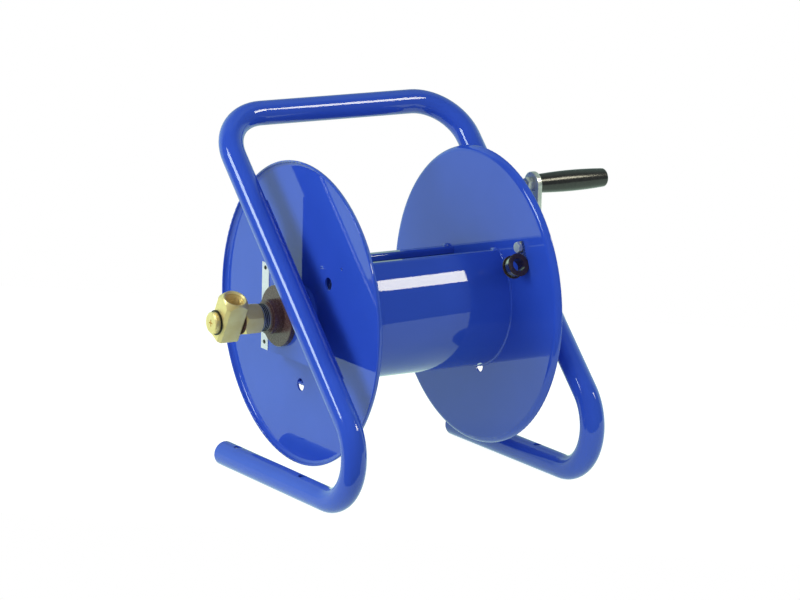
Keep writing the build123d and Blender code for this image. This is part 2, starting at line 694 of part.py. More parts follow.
# ---------------------------------------------------------------- hose clamp
def clamp_plane():
    """On the right disc: X along the strap from bolt to loop, Y off the disc, Z across the strap."""
    along = toward(CLAMP_BOLT_DEG + CLAMP_TURN_DEG)
    across = Vector(*along).cross(Vector(-1, 0, 0))
    return Plane(origin=polar(DISC_X, CLAMP_BOLT_R, CLAMP_BOLT_DEG), x_dir=along, z_dir=across)


def clamp_bar(x0, x1, y0, y1):
    return Pos((x0 + x1) / 2, (y0 + y1) / 2) * Rectangle(x1 - x0, y1 - y0)


def hose_clamp_strap():
    plane = clamp_plane().offset(-STRAP_W / 2)
    outline = Pos(CLAMP_OFFSET, CLAMP_HEIGHT) * Circle(STRAP_R)
    outline += clamp_bar(-EAR_BACK, CLAMP_OFFSET, 0, 2 * STRAP_T)
    outline -= Pos(CLAMP_OFFSET, CLAMP_HEIGHT) * Circle(STRAP_R - STRAP_T)
    strap = extrude(plane * outline, amount=STRAP_W)
    hole_start = polar(DISC_X - 3 * STRAP_T, CLAMP_BOLT_R, CLAMP_BOLT_DEG)
    return strap - rod(hole_start, ALONG_X, 3 * STRAP_T, M6_R)


def hose_clamp_cushion():
    """Rubber ring in the strap; its two lips cover the strap's edges and are cut off at the disc."""
    strap_z = STRAP_W / 2
    lip_z = strap_z + CUSHION_LIP_T
    half = Polyline(
        (CUSHION_BORE_R, 0),
        (STRAP_R - STRAP_T, 0),
        (STRAP_R - STRAP_T, strap_z),
        (CUSHION_LIP_R, strap_z),
        (CUSHION_LIP_R, lip_z),
        (CUSHION_BORE_R, lip_z),
        close=True,
    )
    section = make_face(half)
    corners = section.vertices().filter_by(lambda v: v.X > STRAP_R)
    section = Plane.XZ * fillet(corners, CUSHION_EDGE)
    ring = revolve(section, axis=Axis.Z)
    ring += mirror(ring, about=Plane.XY)
    ring -= Pos(0, -CLAMP_HEIGHT - STRAP_R, 0) * Box(4 * STRAP_R, 2 * STRAP_R, 4 * STRAP_W)
    return clamp_plane().location * Pos(CLAMP_OFFSET, CLAMP_HEIGHT) * ring


def hose_clamp_bolt():
    head_x = DISC_X - 2 * STRAP_T
    seat = polar(head_x, CLAMP_BOLT_R, CLAMP_BOLT_DEG)
    head = hex_head(shift(seat, ALONG_X, -M6_HEAD), ALONG_X, M6_HEAD, M6_FLATS)
    return head + rod(seat, ALONG_X, 2 * STRAP_T + SHEET_T + M6_NUT + M6_STUB, M6_R)


def hose_clamp_nut():
    seat = polar(DISC_X + SHEET_T, CLAMP_BOLT_R, CLAMP_BOLT_DEG)
    return hex_head(seat, ALONG_X, M6_NUT, M6_FLATS) - rod(seat, ALONG_X, M6_NUT, M6_R)


def build_parts():
    bearing = left_bearing()
    snap_ring = retaining_ring()
    hub = left_hub()
    bolts = left_hub_bolts()
    nuts = left_hub_nuts()
    set_screw = left_set_screw()
    washer = ring_x(-HUB_END_X - WASHER_T, -HUB_END_X, WASHER_R, AXLE_R)
    crank_washer_x = ARM_X0 + ARM_T
    return {
        "frame_tube": frame_tube(),
        "left_bearing_plate": left_bearing_plate(),
        "right_bearing_plate": bearing_plate(PLATE_X - PLATE_T),
        "left_bearing": bearing,
        "right_bearing": mirrored_x(bearing),
        "bearing_retaining_rings": group(snap_ring, mirrored_x(snap_ring)),
        "rating_plate": rating_plate(),
        "rating_plate_rivets": group(*[rating_plate_rivet(z) for z in RIVET_ZS]),
        "left_disc": disc(-1),
        "right_disc": disc(1),
        "drum_shell": drum_shell(),
        "left_hub": hub,
        "right_hub": mirrored_x(hub),
        "hub_bolts": group(*bolts, *[mirrored_x(b) for b in bolts]),
        "hub_nuts": group(*nuts, *[mirrored_x(n) for n in nuts]),
        "hub_set_screws": group(set_screw, mirrored_x(set_screw)),
        "thrust_washers": group(washer, mirrored_x(washer)),
        "axle_pipe": axle_pipe(),
        "riser_elbow": riser_elbow(),
        "riser_nipple": riser_nipple(),
        "outlet_elbow": outlet_elbow(),
        "outlet_fitting": outlet_fitting(),
        "swivel_stem": swivel_stem(),
        "swivel_o_rings": group(*[o_ring(x) for x in O_RING_XS]),
        "swivel_thrust_washer": ring_x(SWIVEL_X1 + GAP, STEM_HEX_X0, STEM_WASHER_R, JOURNAL_R),
        "swivel_retaining_ring": ring_x(JOURNAL_END_X, SWIVEL_X0 - GAP, CLIP_R, JOURNAL_R),
        "swivel_cap": swivel_cap(),
        "swivel_body": swivel_body(),
        "crank_shaft": crank_shaft(),
        "crank_arm": crank_arm(),
        "crank_washer": ring_x(crank_washer_x, crank_washer_x + CRANK_WASHER_T, CRANK_WASHER_R, CRANK_BOLT_R),
        "crank_bolt": crank_bolt(),
        "handle_bolt": handle_bolt(),
        "handle_nut": handle_nut(),
        "handle_sleeve": handle_sleeve(),
        "handle_washer": handle_washer(),
        "handle_grip": handle_grip(),
        "hose_clamp_strap": hose_clamp_strap(),
        "hose_clamp_cushion": hose_clamp_cushion(),
        "hose_clamp_bolt": hose_clamp_bolt(),
        "hose_clamp_nut": hose_clamp_nut(),
    }


os.makedirs("parts", exist_ok=True)
for name, shape in build_parts().items():
    export_step(shape, f"parts/{name}.step")
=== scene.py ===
import json
import math

import bmesh
import bpy
from mathutils import Matrix, Vector


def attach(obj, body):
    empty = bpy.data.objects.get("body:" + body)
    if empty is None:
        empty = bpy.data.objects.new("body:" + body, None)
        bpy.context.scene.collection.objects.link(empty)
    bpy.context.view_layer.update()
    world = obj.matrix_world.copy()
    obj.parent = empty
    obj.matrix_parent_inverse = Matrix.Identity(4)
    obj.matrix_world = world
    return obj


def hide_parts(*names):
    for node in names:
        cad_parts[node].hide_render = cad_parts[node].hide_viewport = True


# Looks of the hand-crank hose reel. Metres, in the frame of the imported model:
# X along the axle towards the crank, Y backwards, Z up, origin on the floor between the feet.

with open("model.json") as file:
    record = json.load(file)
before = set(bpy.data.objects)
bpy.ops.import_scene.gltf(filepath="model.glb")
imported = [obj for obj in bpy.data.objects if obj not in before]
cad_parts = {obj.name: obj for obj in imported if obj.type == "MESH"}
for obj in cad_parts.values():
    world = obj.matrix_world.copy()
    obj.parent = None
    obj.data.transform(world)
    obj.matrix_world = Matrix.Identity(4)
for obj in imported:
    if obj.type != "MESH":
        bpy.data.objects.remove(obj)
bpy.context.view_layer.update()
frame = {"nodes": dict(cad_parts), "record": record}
NODES = frame["nodes"]
RECORD_SLOTS = {row["node"]: row["material_slot"] for row in frame["record"]["subparts"]}

MM = 0.001
AXLE = Vector((0.0, 0.0055, 0.171))
AXLE_LINE = Vector((1, 0, 0))
WHITE = (1, 1, 1, 1)

# ---------------------------------------------------------------- camera and studio
CAMERA_AZIMUTH = math.radians(-32.39)
CAMERA_ELEVATION = math.radians(12.26)
CAMERA_ROLL = math.radians(1.42)
CAMERA_DISTANCE = 3.9549
CAMERA_TARGET = Vector((0.01285, 0.0055, 0.17338))
CAMERA_LENS = 176.7
CAMERA_CLIP_END = 20.0

# the white table: how far its front edge is from the axle, which way that edge faces, and its size
TABLE_FRONT = 0.255
TABLE_AZIMUTH = math.radians(-40.8)
TABLE_HALF_WIDTH = 2.2
TABLE_DEPTH = 1.0
TABLE_GREY = (0.3, 0.3, 0.3, 1)
TABLE_ROUGHNESS = 0.9
TABLE_GLOW = (0.68, 0.95, 0.75, 1)
TABLE_MIRROR_STRENGTH = 1.0       # of that glow, as mirrors see it
TABLE_DIFFUSE_STRENGTH = 0.45     # of that glow, as it lights matt surfaces
TABLE_CAMERA_STRENGTH = 0.97      # of plain white, as the camera sees it

# the backdrop: its middle, then how far from the middle it starts and where it is full
BACKDROP_AZIMUTH = math.radians(148.0)
BACKDROP_EDGES = (math.radians(76), math.radians(64))
BACKDROP_GLOW = (0.70, 1.05, 0.88, 1)
BACKDROP_LOW = 0.25               # sine of the elevation where it starts to fade, and where that ends
BACKDROP_HIGH = 0.9
BACKDROP_TOP = 0.3                # how bright it is above that
DIP_EDGES = (math.radians(30), math.radians(8))
DIP_GLOW = 0.35                   # how bright it is straight behind the reel
ROOM_GLOW = (0.13, 0.18, 0.19, 1)

# lights: azimuth and elevation of the centre, degrees wide and high, radiance, colour
SOFTBOXES = {
    "softbox_right": (42.8, 36.5, 14.3, 13.4, 17.0, (1.0, 0.96, 0.72)),
    "softbox_left": (-98.0, 31.5, 20.0, 16.0, 12.0, (0.86, 1.0, 0.92)),
}
# the same for lights that mirrors don't show
FILL_LIGHTS = {
    "fill_left": (-75.0, 12.0, 40.0, 36.0, 2.25, (1, 1, 1)),
    "fill_front": (-20.0, 20.0, 44.0, 36.0, 1.5, (1, 1, 1)),
}
LIGHT_DISTANCE = 2.2

# sockets of a Mix node for colours: the factor, the two colours and the result
MIX_FACTOR = 0
MIX_FIRST = 6
MIX_SECOND = 7
MIX_RESULT = 2


def from_angles(azimuth, elevation):
    """Unit vector; azimuth 0 points along -Y and 90 degrees along +X. Radians."""
    level = math.cos(elevation)
    return Vector((math.sin(azimuth) * level, -math.cos(azimuth) * level, math.sin(elevation)))


def add_camera():
    back = from_angles(CAMERA_AZIMUTH, CAMERA_ELEVATION)
    right = Vector((0, 0, 1)).cross(back).normalized()
    up = back.cross(right)
    roll_right = right * math.cos(CAMERA_ROLL) + up * math.sin(CAMERA_ROLL)
    roll_up = up * math.cos(CAMERA_ROLL) - right * math.sin(CAMERA_ROLL)
    data = bpy.data.cameras.new("camera")
    data.lens = CAMERA_LENS
    data.clip_end = CAMERA_CLIP_END
    camera = bpy.data.objects.new("camera", data)
    rotation = Matrix((roll_right, roll_up, back)).transposed().to_4x4()
    camera.matrix_world = Matrix.Translation(CAMERA_TARGET + back * CAMERA_DISTANCE) @ rotation
    bpy.context.collection.objects.link(camera)
    bpy.context.scene.camera = camera


def light_size(degrees):
    """Side of a light that looks this wide from the axle."""
    return 2 * LIGHT_DISTANCE * math.tan(math.radians(degrees) / 2)


def add_light(name, azimuth, elevation, width, height, radiance, colour):
    """Rectangular light aimed at the axle."""
    toward = from_angles(math.radians(azimuth), math.radians(elevation))
    data = bpy.data.lights.new(name, "AREA")
    data.shape = "RECTANGLE"
    data.size = light_size(width)
    data.size_y = light_size(height)
    data.energy = radiance * math.pi * data.size * data.size_y
    data.color = colour
    light = bpy.data.objects.new(name, data)
    light.location = AXLE + toward * LIGHT_DISTANCE
    light.rotation_mode = "QUATERNION"
    light.rotation_quaternion = (-toward).to_track_quat("-Z", "Y")
    bpy.context.collection.objects.link(light)
    return light


class ShaderTree:
    """Short calls that the studio's trees and the materials' trees share."""

    def __init__(self, tree):
        self.tree = tree

    def add(self, kind):
        return self.tree.nodes.new("ShaderNode" + kind)

    def join(self, output, socket):
        self.tree.links.new(output, socket)

    def mapped(self, value, from_low, from_high, to_low, to_high, curve="LINEAR"):
        """The value carried from one range to another and held at its ends."""
        node = self.add("MapRange")
        node.interpolation_type = curve
        node.inputs["From Min"].default_value = from_low
        node.inputs["From Max"].default_value = from_high
        node.inputs["To Min"].default_value = to_low
        node.inputs["To Max"].default_value = to_high
        self.join(value, node.inputs["Value"])
        return node.outputs["Result"]

    def mixed(self, value, first, second):
        """Colour between the two that the value, from 0 to 1, picks."""
        node = self.add("Mix")
        node.data_type = "RGBA"
        node.inputs[MIX_FIRST].default_value = first
        node.inputs[MIX_SECOND].default_value = second
        self.join(value, node.inputs[MIX_FACTOR])
        return node.outputs[MIX_RESULT]


class StudioTree(ShaderTree):
    """Tree that shows the camera one shader (seen) and every other ray another (unseen)."""

    def __init__(self, tree, output_type):
        super().__init__(tree)
        tree.nodes.clear()
        self.rays = self.add("LightPath")
        mix = self.add("MixShader")
        output = self.add(output_type)
        self.join(self.rays.outputs["Is Camera Ray"], mix.inputs[0])
        self.join(mix.outputs[0], output.inputs["Surface"])
        self.unseen = mix.inputs[1]
        self.seen = mix.inputs[2]

    def split_diffuse(self):
        """Sockets for what mirrors see and for what lights the matt surfaces."""
        mix = self.add("MixShader")
        self.join(self.rays.outputs["Is Diffuse Ray"], mix.inputs[0])
        self.join(mix.outputs[0], self.unseen)
        return mix.inputs[1], mix.inputs[2]

    def vector_math(self, operation, first, second=None):
        node = self.add("VectorMath")
        node.operation = operation
        self.join(first, node.inputs[0])
        if second is not None:
            node.inputs[1].default_value = second
        return node

    def along(self, first, second):
        """Dot product of a socket with a fixed vector."""
        return self.vector_math("DOT_PRODUCT", first, second).outputs["Value"]

    def times(self, first, second):
        node = self.add("Math")
        node.operation = "MULTIPLY"
        self.join(first, node.inputs[0])
        self.join(second, node.inputs[1])
        return node.outputs[0]

    def smooth_step(self, value, edges, low, high):
        return self.mapped(value, *edges, low, high, "SMOOTHSTEP")


def add_world():
    """Backdrop that fades upwards, dips straight behind the reel and ends in a dim room."""
    world = bpy.data.worlds.new("studio")
    bpy.context.scene.world = world
    world.use_nodes = True
    studio = StudioTree(world.node_tree, "OutputWorld")
    place = studio.add("TexCoord").outputs["Generated"]
    level = studio.vector_math("MULTIPLY", place, (1, 1, 0)).outputs["Vector"]
    heading = studio.vector_math("NORMALIZE", level).outputs["Vector"]
    behind = studio.along(heading, from_angles(BACKDROP_AZIMUTH, 0))
    height = studio.along(place, (0, 0, 1))
    inside = studio.smooth_step(behind, [math.cos(edge) for edge in BACKDROP_EDGES], 0.0, 1.0)
    fade = studio.smooth_step(height, (BACKDROP_LOW, BACKDROP_HIGH), 1.0, BACKDROP_TOP)
    dip = studio.smooth_step(behind, [math.cos(edge) for edge in DIP_EDGES], 1.0, DIP_GLOW)
    share = studio.times(inside, studio.times(fade, dip))
    light = studio.add("Background")
    studio.join(studio.mixed(share, ROOM_GLOW, BACKDROP_GLOW), light.inputs["Color"])
    white = studio.add("Background")
    white.inputs["Color"].default_value = WHITE
    studio.join(light.outputs[0], studio.unseen)
    studio.join(white.outputs[0], studio.seen)


def table_paper():
    material = bpy.data.materials.new("table_paper")
    material.use_nodes = True
    studio = StudioTree(material.node_tree, "OutputMaterial")
    mirrored, diffuse = studio.split_diffuse()
    for socket, glow, strength in (
        (mirrored, TABLE_GLOW, TABLE_MIRROR_STRENGTH),
        (diffuse, TABLE_GLOW, TABLE_DIFFUSE_STRENGTH),
        (studio.seen, WHITE, TABLE_CAMERA_STRENGTH),
    ):
        paper = studio.add("BsdfPrincipled")
        paper.inputs["Base Color"].default_value = TABLE_GREY
        paper.inputs["Roughness"].default_value = TABLE_ROUGHNESS
        paper.inputs["Emission Color"].default_value = glow
        paper.inputs["Emission Strength"].default_value = strength
        studio.join(paper.outputs[0], socket)
    return material


def add_table():
    front = from_angles(TABLE_AZIMUTH, 0)
    along = Vector((0, 0, 1)).cross(front)
    near = Vector((AXLE.x, AXLE.y, 0)) + front * TABLE_FRONT
    far = near - front * TABLE_DEPTH
    corners = [
        near - along * TABLE_HALF_WIDTH,
        near + along * TABLE_HALF_WIDTH,
        far + along * TABLE_HALF_WIDTH,
        far - along * TABLE_HALF_WIDTH,
    ]
    mesh = bpy.data.meshes.new("table")
    mesh.from_pydata(corners, [], [(0, 1, 2, 3)])
    table = bpy.data.objects.new("table", mesh)
    bpy.context.collection.objects.link(table)
    mesh.materials.append(table_paper())


bpy.context.scene.view_settings.view_transform = "Standard"
add_camera()
add_world()
add_table()
for softbox, setting in SOFTBOXES.items():
    add_light(softbox, *setting)
for fill, setting in FILL_LIGHTS.items():
    add_light(fill, *setting).visible_glossy = False


# ---------------------------------------------------------------- materials
NOISE_LOW = 0.3           # nearly all of a noise texture's values are between these two
NOISE_HIGH = 0.7
RING_SPACING = 0.9 * MM
RING_WOBBLE = 0.4
WAVE_RATE = 20.0          # Blender's wave at scale 1 turns through this many radians per unit


class MaterialTree(ShaderTree):
    """Short calls for building one material's node tree round a Principled BSDF."""

    def __init__(self, name):
        self.material = bpy.data.materials.new(name)
        self.material.use_nodes = True
        super().__init__(self.material.node_tree)
        self.shader = self.tree.nodes["Principled BSDF"]
        self.place = self.add("TexCoord").outputs["Object"]

    def set(self, name, value):
        self.shader.inputs[name].default_value = value

    def link(self, output, name):
        self.join(output, self.shader.inputs[name])

    def placed(self, name, value):
        """Object coordinates after a Mapping node with one of its inputs set."""
        node = self.add("Mapping")
        node.inputs[name].default_value = value
        self.join(self.place, node.inputs["Vector"])
        return node.outputs["Vector"]

    def noise(self, scale, detail, place=None):
        """Noise texture; scale is in patches per metre."""
        node = self.add("TexNoise")
        node.inputs["Scale"].default_value = scale
        node.inputs["Detail"].default_value = detail
        self.join(place or self.place, node.inputs["Vector"])
        return node.outputs["Fac"]

    def spread(self, value, low, high):
        """Noise stretched to run from low to high."""
        return self.mapped(value, NOISE_LOW, NOISE_HIGH, low, high)

    def rings(self):
        """Fine rings round the axle line, as a lathe leaves them."""
        wave = self.add("TexWave")
        wave.wave_type = "RINGS"
        wave.rings_direction = "X"
        wave.inputs["Scale"].default_value = 2 * math.pi / (WAVE_RATE * RING_SPACING)
        wave.inputs["Distortion"].default_value = RING_WOBBLE
        self.join(self.placed("Location", (0, -AXLE.y, -AXLE.z)), wave.inputs["Vector"])
        return wave.outputs["Fac"]

    def bump(self, height, strength, distance, normal=None):
        node = self.add("Bump")
        node.inputs["Strength"].default_value = strength
        node.inputs["Distance"].default_value = distance
        self.join(height, node.inputs["Height"])
        if normal is not None:
            self.join(normal, node.inputs["Normal"])
        return node.outputs["Normal"]

    def tint(self, scale, detail, first, second):
        """Base colour that drifts between two colours in clouds."""
        cloud = self.spread(self.noise(scale, detail), 0.0, 1.0)
        self.link(self.mixed(cloud, (*first, 1), (*second, 1)), "Base Color")

    def roughen(self, scale, detail, low, high):
        """Roughness that drifts between two values in clouds."""
        self.link(self.spread(self.noise(scale, detail), low, high), "Roughness")

    def grain(self, scale, detail, strength, distance, stretch=(1, 1, 1)):
        """Bump of fine noise, its scale multiplied along X, Y and Z by the stretch."""
        height = self.noise(scale, detail, self.placed("Scale", stretch))
        self.link(self.bump(height, strength, distance), "Normal")


def blue_enamel():
    """Wet-looking powder coat: deep blue, mirror gloss, faint orange peel."""
    look = MaterialTree("blue_enamel")
    look.tint(14.0, 2.0, (0.028, 0.079, 0.545), (0.032, 0.087, 0.59))
    look.roughen(60.0, 3.0, 0.02, 0.05)
    look.set("IOR", 1.5)
    peel = look.bump(look.noise(260.0, 1.0), 0.04, 0.0003)
    look.link(look.bump(look.noise(30.0, 1.0), 0.03, 0.001, peel), "Normal")
    return look.material


def brass():
    """Machined brass: pale yellow, fine turning lines, slight tarnish in clouds."""
    look = MaterialTree("brass")
    look.tint(70.0, 4.0, (0.90, 0.67, 0.27), (1.0, 0.80, 0.38))
    look.set("Metallic", 0.62)
    look.roughen(260.0, 3.0, 0.34, 0.42)
    look.grain(300.0, 1.0, 0.1, 0.0001, (3.0, 0.4, 0.4))
    return look.material


def zinc():
    """Bright zinc plate with a fine rolled grain and cloudy patches."""
    look = MaterialTree("zinc")
    look.tint(70.0, 4.0, (0.60, 0.60, 0.58), (0.78, 0.78, 0.75))
    look.set("Metallic", 0.7)
    look.roughen(180.0, 4.0, 0.26, 0.36)
    look.grain(300.0, 1.0, 0.03, 0.0001, (1.0, 1.0, 0.15))
    return look.material


def spring_steel():
    """Black oxide over turned steel."""
    look = MaterialTree("spring_steel")
    look.tint(200.0, 3.0, (0.025, 0.024, 0.024), (0.06, 0.055, 0.052))
    look.set("Metallic", 1.0)
    look.roughen(500.0, 2.0, 0.28, 0.45)
    look.grain(900.0, 2.0, 0.08, 0.0001)
    return look.material


def clamp_steel():
    """Plated strap gone bronze-grey."""
    look = MaterialTree("clamp_steel")
    look.tint(160.0, 4.0, (0.34, 0.31, 0.28), (0.52, 0.49, 0.45))
    look.set("Metallic", 1.0)
    look.roughen(400.0, 3.0, 0.2, 0.32)
    look.grain(500.0, 2.0, 0.05, 0.0001)
    return look.material


def bearing_plastic():
    """Filled nylon, brown-black, with a low sheen and the rings left by turning."""
    look = MaterialTree("bearing_plastic")
    look.tint(350.0, 3.0, (0.082, 0.040, 0.042), (0.112, 0.060, 0.060))
    look.roughen(600.0, 2.0, 0.2, 0.32)
    fine = look.bump(look.noise(500.0, 1.0), 0.02, 0.0001)
    look.link(look.bump(look.rings(), 0.12, 0.00012, fine), "Normal")
    return look.material


def grip_plastic():
    """Black moulded plastic with a fine matt grain."""
    look = MaterialTree("grip_plastic")
    look.tint(200.0, 3.0, (0.020, 0.018, 0.019), (0.032, 0.029, 0.030))
    look.roughen(500.0, 2.0, 0.17, 0.25)
    look.grain(2200.0, 1.0, 0.06, 0.00008)
    return look.material


def rubber():
    """Black rubber with a moulded satin skin."""
    look = MaterialTree("rubber")
    look.tint(300.0, 3.0, (0.026, 0.014, 0.012), (0.048, 0.028, 0.025))
    look.roughen(700.0, 3.0, 0.12, 0.24)
    look.grain(900.0, 2.0, 0.1, 0.0001)
    return look.material


def rating_plate():
    """Plain white enamelled plate with no print."""
    look = MaterialTree("rating_plate")
    look.tint(120.0, 3.0, (0.70, 0.72, 0.78), (0.80, 0.81, 0.85))
    look.roughen(300.0, 2.0, 0.25, 0.4)
    look.grain(900.0, 2.0, 0.06, 0.0001)
    return look.material


MATERIALS = {
    make.__name__: make()
    for make in (
        blue_enamel,
        brass,
        zinc,
        spring_steel,
        clamp_steel,
        bearing_plastic,
        grip_plastic,
        rubber,
        rating_plate,
    )
}

for node, piece in NODES.items():
    piece.data.materials.clear()
    piece.data.materials.append(MATERIALS[RECORD_SLOTS[node]])


# ---------------------------------------------------------------- welds, threads and swivel body
# the drum, as its welds follow it
DISC_X = 100 * MM         # drum side of each disc
DRUM_R = 72 * MM
FRONT_DEG = 130.6         # the drum is round except between these two angles
BACK_DEG = 34.0
LIP_FRONT = 12.5 * MM     # the flat lips each side of the drum's opening, along the flat top
LIP_BACK = 15 * MM
CORNER_DEG = 3.0          # how much of the round part the two corner bends take up
DISC_WELD_STEP_DEG = 1.5
DISC_WELD_R = 1.6 * MM
DISC_WELD_END_R = 2.6 * MM
DISC_WELD_WAVE = 2.5      # points in one ripple

# the legs and their bearing plates
LEG_FOOT = Vector((0, -230.5, 12.5)) * MM     # two points on the line of the sloping legs
LEG_TOP = Vector((0, 116, 354)) * MM
PLATE_LOW_Z = 133 * MM
PLATE_HIGH_Z = 277 * MM
PLATE_FACE_X = 126.5 * MM
PLATE_WELDS = {           # how far behind the leg's middle line and how far outside the plate's face
    "back": (3.5 * MM, 0.6 * MM),
    "front": (-1.5 * MM, -0.4 * MM),
}
PLATE_WELD_R = 1.9 * MM
PLATE_WELD_STEP = 1.2 * MM
PLATE_WELD_WAVE = 3.3
RIPPLE = 0.14             # share of a bead's radius that its ripples add and take away
BEAD_SIDES = 10

# threads
THREAD_PITCH = 1.81 * MM
THREAD_R = 0.62 * MM
THREAD_END_SHARE = 0.1    # how thick the ridge is at both ends
THREAD_STEPS = 40         # points per turn
THREAD_SIDES = 6
PIPE_R = 13.35 * MM
PIPE_THREAD = (-153.3 * MM, -145.2 * MM)      # from and to, along the axle
PORT_THREAD = (13.5 * MM, 26.6 * MM)          # from and to, from the swivel's centre along the port
OUTLET_R = 10.4 * MM
OUTLET_ANGLE = math.radians(111.6)            # direction of the outlet, from +Y towards +Z
OUTLET_ALONG = -28.6                          # millimetres along the axle and out from it
OUTLET_OUT = 31
OUTLET_PLACE = Vector((
    OUTLET_ALONG,
    OUTLET_OUT * math.cos(OUTLET_ANGLE),
    OUTLET_OUT * math.sin(OUTLET_ANGLE),
))
OUTLET_START = AXLE + OUTLET_PLACE * MM
OUTLET_THREAD = (0.0, 15.5 * MM)

# the swivel body; its port points along PORT_AXIS, away from the axle
PORT_TILT = math.radians(118)                 # direction of the port, from +Y towards +Z
PORT_AXIS = Vector((0, math.cos(PORT_TILT), math.sin(PORT_TILT)))
PORT_CENTRE = AXLE + Vector((-186.5 * MM, 0, 0))
PORT_BORE_R = 9.3 * MM
PORT_END = 29 * MM        # distances from the centre to the port's mouth and to its floor
PORT_FLOOR = 12.5 * MM
PORT_MOUTH = 1.4 * MM     # chamfer at the mouth
PORT_WATER_R = 4.5 * MM
SWIVEL_LENGTH = 25 * MM
SWIVEL_ACROSS = 25.4 * MM
SWIVEL_DOWN = 18 * MM     # distance from the centre to the base, away from the port
SWIVEL_BORE_R = 9.06 * MM
SWIVEL_CHAMFER = 3 * MM
SWIVEL_BASE_CHAMFER = 1.5 * MM
SWIVEL_EDGE = 0.3 * MM
EDGE_SEGMENTS = 2
CONE_TOP_R = 11.7 * MM
CONE_DROP = 1.3           # height lost for each millimetre further from the port's middle
OVERCUT = 1 * MM          # how far a cutting tool goes past the brass
TURNED_SIDES = 72
WATER_SIDES = 32
SHARP_ANGLE = math.radians(30)


def on_circle(centre, first, second, radius, turn):
    """Point on a circle round the centre, a share of a turn from first towards second."""
    angle = 2 * math.pi * turn
    return centre + (first * math.cos(angle) + second * math.sin(angle)) * radius


def circle(centre, first, second, radius, sides):
    return [on_circle(centre, first, second, radius, k / sides) for k in range(sides)]


def skin(rings):
    """Closed bmesh through equal rings of points, capped at both ends."""
    maker = bmesh.new()
    loops = [[maker.verts.new(point) for point in ring] for ring in rings]
    sides = len(loops[0])
    for lower, upper in zip(loops, loops[1:]):
        for k in range(sides):
            after = (k + 1) % sides
            maker.faces.new((lower[k], lower[after], upper[after], upper[k]))
    maker.faces.new(list(reversed(loops[0])))
    maker.faces.new(loops[-1])
    return maker


def solid(rings):
    """The same with its faces turned outwards."""
    maker = skin(rings)
    bmesh.ops.recalc_face_normals(maker, faces=maker.faces)
    return maker


def to_mesh(name, maker):
    mesh = bpy.data.meshes.new(name)
    maker.to_mesh(mesh)
    maker.free()
    return mesh


def smooth(mesh):
    for face in mesh.polygons:
        face.use_smooth = True


def add_bead(name, body, slot, points, radii, reference, sides=BEAD_SIDES):
    """Closed bead along the points; reference is a direction never parallel to them."""
    rings = []
    last = len(points) - 1
    for i, (point, radius) in enumerate(zip(points, radii)):
        tangent = (points[min(i + 1, last)] - points[max(i - 1, 0)]).normalized()
        first = reference.cross(tangent).normalized()
        rings.append(circle(point, first, tangent.cross(first), radius, sides))
    mesh = to_mesh(name, skin(rings))
    smooth(mesh)
    mesh.materials.append(MATERIALS[slot])
    piece = bpy.data.objects.new(name, mesh)
    bpy.context.collection.objects.link(piece)
    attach(piece, body)


def rippled(count, radius, wave_points):
    """Bead radii that swell and shrink like the ripples of a weld."""
    return [radius * (1 + RIPPLE * math.sin(2 * math.pi * i / wave_points)) for i in range(count)]


def round_axle(x, radius, degrees):
    angle = math.radians(degrees)
    return AXLE + Vector((x, radius * math.cos(angle), radius * math.sin(angle)))


def disc_weld(name, x):
    """Fillet weld between the drum and one disc, from lip to lip with a blob at each end."""
    front = round_axle(x, DRUM_R, FRONT_DEG)
    back = round_axle(x, DRUM_R, BACK_DEG)
    across = (back - front).normalized()
    points = [front + across * LIP_FRONT, front + across * LIP_FRONT / 2]
    steps = int((360 + BACK_DEG - FRONT_DEG - 2 * CORNER_DEG) / DISC_WELD_STEP_DEG)
    for i in range(steps + 1):
        points.append(round_axle(x, DRUM_R, FRONT_DEG + CORNER_DEG + i * DISC_WELD_STEP_DEG))
    points += [back - across * LIP_BACK / 2, back - across * LIP_BACK]
    radii = rippled(len(points), DISC_WELD_R, DISC_WELD_WAVE)
    for i in (0, 1, -2, -1):
        radii[i] = DISC_WELD_END_R
    add_bead(name, "reel", "blue_enamel", points, radii, AXLE_LINE)


def plate_weld(name, side, behind, outside):
    """Weld along a leg and its bearing plate; side is -1 on the left and 1 on the right."""
    slope = (LEG_TOP - LEG_FOOT).normalized()
    normal = Vector((0, slope.z, -slope.y))
    shift = Vector((side * (PLATE_FACE_X + outside), 0, 0))
    low = (PLATE_LOW_Z - LEG_FOOT.z) / slope.z
    high = (PLATE_HIGH_Z - LEG_FOOT.z) / slope.z
    count = int((high - low) / PLATE_WELD_STEP)
    points = []
    for i in range(count + 1):
        along = low + (high - low) * i / count
        points.append(LEG_FOOT + slope * along + normal * behind + shift)
    radii = rippled(len(points), PLATE_WELD_R, PLATE_WELD_WAVE)
    add_bead(name, "frame", "blue_enamel", points, radii, AXLE_LINE)


def thread(name, body, slot, start, axis, span, radius):
    """Screw thread: one ridge wound round a cylinder from span[0] to span[1] along its axis."""
    first = axis.orthogonal().normalized()
    second = axis.cross(first)
    steps = int(THREAD_STEPS * (span[1] - span[0]) / THREAD_PITCH)
    points = []
    radii = []
    for i in range(steps + 1):
        centre = start + axis * (span[0] + THREAD_PITCH * i / THREAD_STEPS)
        points.append(on_circle(centre, first, second, radius, i / THREAD_STEPS))
        turns_from_end = min(i, steps - i) / THREAD_STEPS
        radii.append(THREAD_R * min(1.0, turns_from_end + THREAD_END_SHARE))
    add_bead(name, body, slot, points, radii, axis, THREAD_SIDES)


def turned(axis, profile, sides):
    """Round solid about an axis through the swivel; profile is (distance along it, radius) pairs."""
    first = axis.orthogonal().normalized()
    second = axis.cross(first)
    rings = [circle(PORT_CENTRE + axis * along, first, second, radius, sides) for along, radius in profile]
    return solid(rings)


